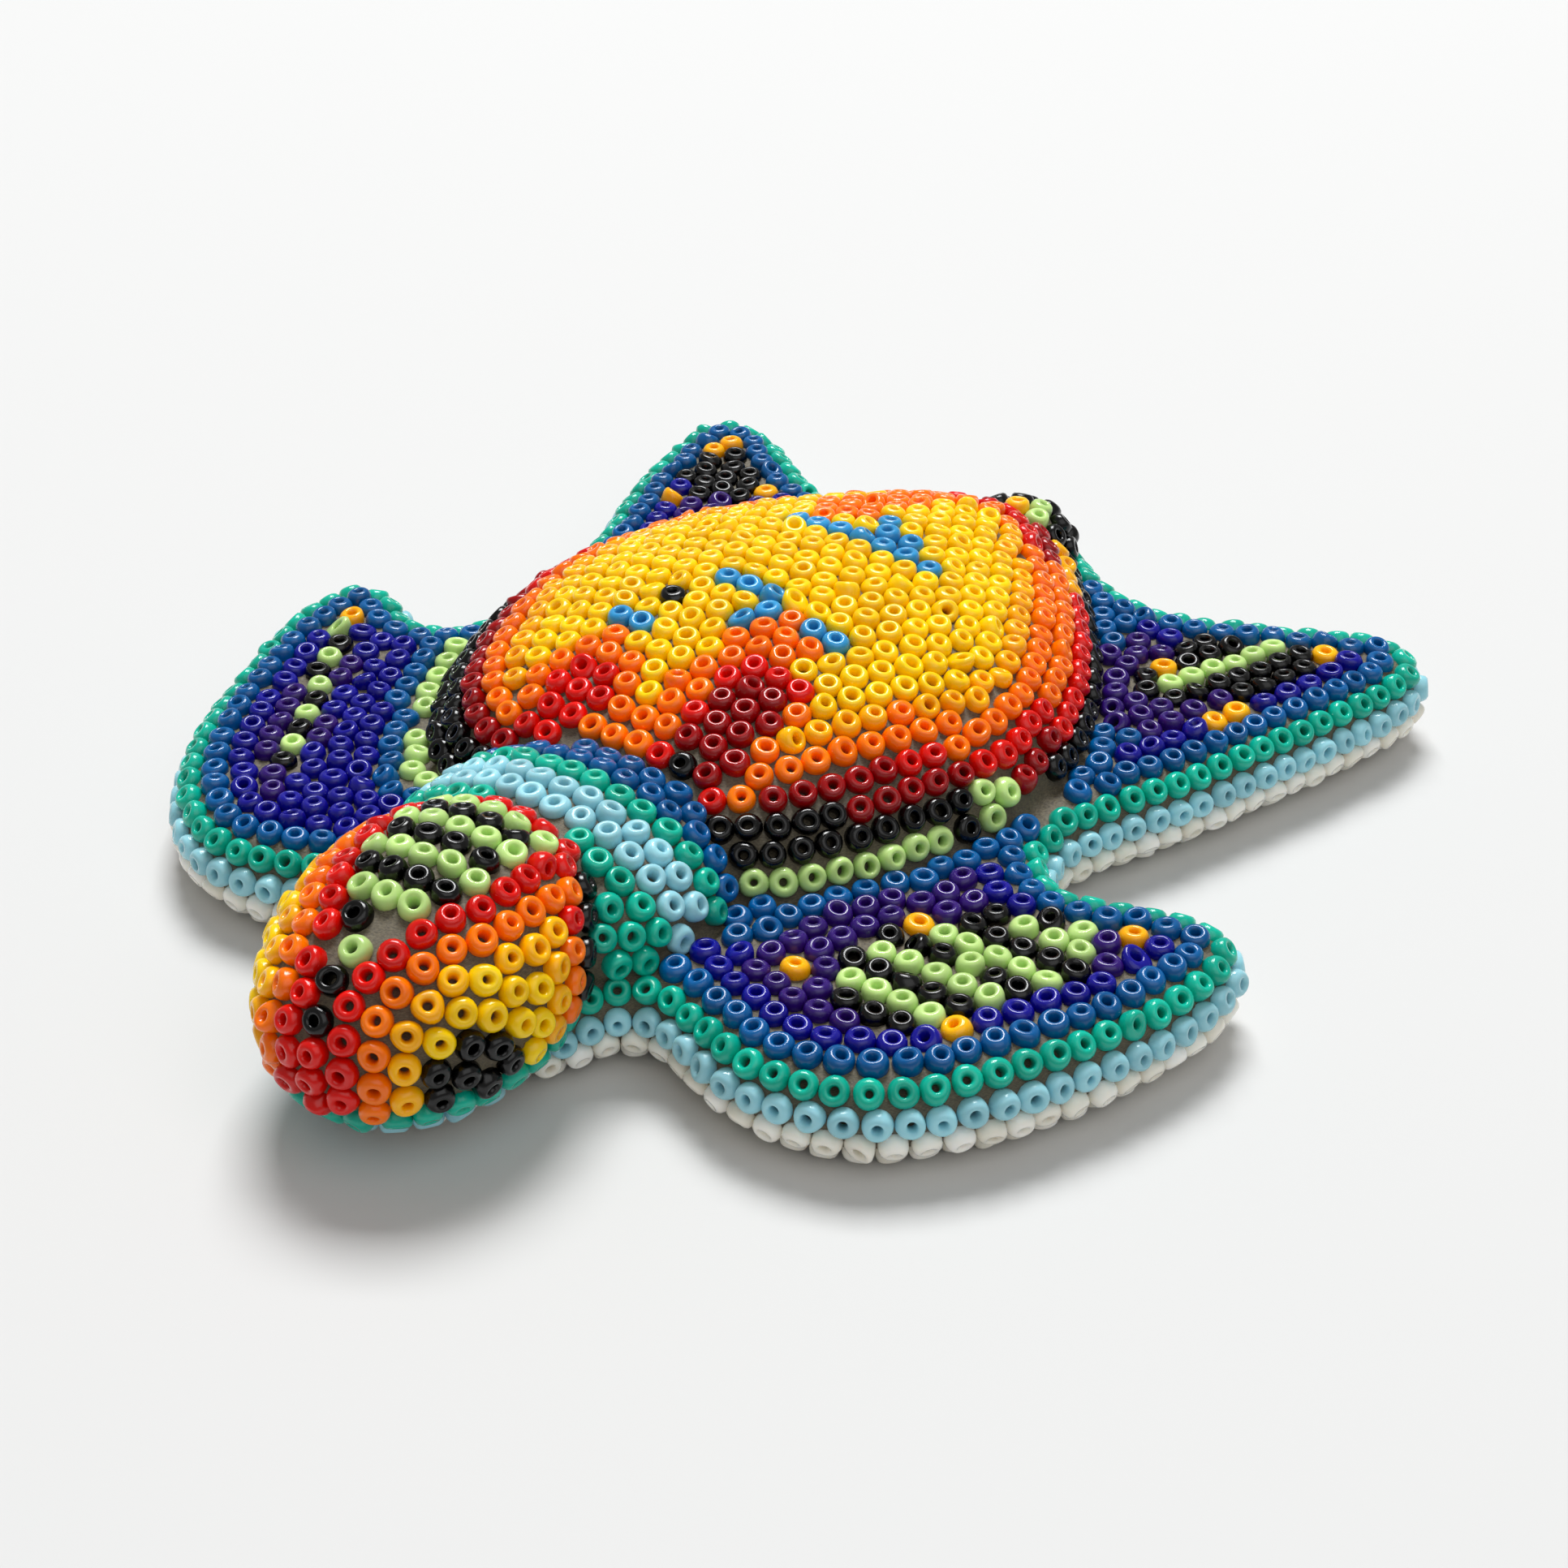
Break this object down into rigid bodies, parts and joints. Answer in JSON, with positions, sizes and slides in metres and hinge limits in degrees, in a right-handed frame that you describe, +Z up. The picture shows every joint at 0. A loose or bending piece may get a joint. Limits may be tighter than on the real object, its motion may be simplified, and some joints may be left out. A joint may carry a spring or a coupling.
{
  "type": "huichol beaded figure",
  "caption": "Sea turtle carved from wood, coated in wax and covered all over with pressed-in glass seed beads in bright bands and motifs",
  "frame": {"origin": "On the ground under the middle of the turtle's bounding box", "axes": "+Z up off the ground, head towards -Y, back of the shell towards +Y, the turtle's own left flippers towards +X"},
  "size_m": [0.0882, 0.0956, 0.0182],
  "materials": {
    "amber_glass": "gloss",
    "black_glass": "gloss",
    "blue_glass": "gloss",
    "green_glass": "gloss",
    "indigo_glass": "gloss",
    "maroon_glass": "gloss",
    "orange_glass": "gloss",
    "red_glass": "gloss",
    "sky_glass": "gloss",
    "steel_glass": "gloss",
    "teal_glass": "gloss",
    "violet_glass": "gloss",
    "wax": "satin",
    "white_glass": "gloss",
    "wood": "matte",
    "yellow_glass": "gloss"
  },
  "bodies": {
    "root": {"edge_blue_beads": "blue_glass", "edge_sky_beads": "sky_glass", "edge_teal_beads": "teal_glass", "edge_white_beads": "white_glass", "head_amber_beads": "amber_glass", "head_black_beads": "black_glass", "head_green_beads": "green_glass", "head_orange_beads": "orange_glass", "head_red_beads": "red_glass", "head_sky_beads": "sky_glass", "head_teal_beads": "teal_glass", "head_white_beads": "white_glass", "head_yellow_beads": "yellow_glass", "left_front_flipper_amber_beads": "amber_glass", "left_front_flipper_black_beads": "black_glass", "left_front_flipper_blue_beads": "blue_glass", "left_front_flipper_green_beads": "green_glass", "left_front_flipper_indigo_beads": "indigo_glass", "left_front_flipper_violet_beads": "violet_glass", "left_rear_flipper_amber_beads": "amber_glass", "left_rear_flipper_black_beads": "black_glass", "left_rear_flipper_blue_beads": "blue_glass", "left_rear_flipper_green_beads": "green_glass", "left_rear_flipper_indigo_beads": "indigo_glass", "left_rear_flipper_violet_beads": "violet_glass", "neck_blue_beads": "blue_glass", "neck_sky_beads": "sky_glass", "neck_teal_beads": "teal_glass", "resting_white_beads": "white_glass", "right_front_flipper_amber_beads": "amber_glass", "right_front_flipper_black_beads": "black_glass", "right_front_flipper_blue_beads": "blue_glass", "right_front_flipper_green_beads": "green_glass", "right_front_flipper_indigo_beads": "indigo_glass", "right_front_flipper_violet_beads": "violet_glass", "right_rear_flipper_amber_beads": "amber_glass", "right_rear_flipper_black_beads": "black_glass", "right_rear_flipper_blue_beads": "blue_glass", "right_rear_flipper_indigo_beads": "indigo_glass", "right_rear_flipper_violet_beads": "violet_glass", "shell_amber_beads": "amber_glass", "shell_black_beads": "black_glass", "shell_green_beads": "green_glass", "shell_maroon_beads": "maroon_glass", "shell_orange_beads": "orange_glass", "shell_red_beads": "red_glass", "shell_steel_beads": "steel_glass", "shell_yellow_beads": "yellow_glass", "tail_amber_beads": "amber_glass", "tail_black_beads": "black_glass", "tail_green_beads": "green_glass", "underside_blue_beads": "blue_glass", "underside_sky_beads": "sky_glass", "underside_teal_beads": "teal_glass", "underside_white_beads": "white_glass", "wax_coat": "wax", "wooden_core": "wood"}
  },
  "joints": []
}
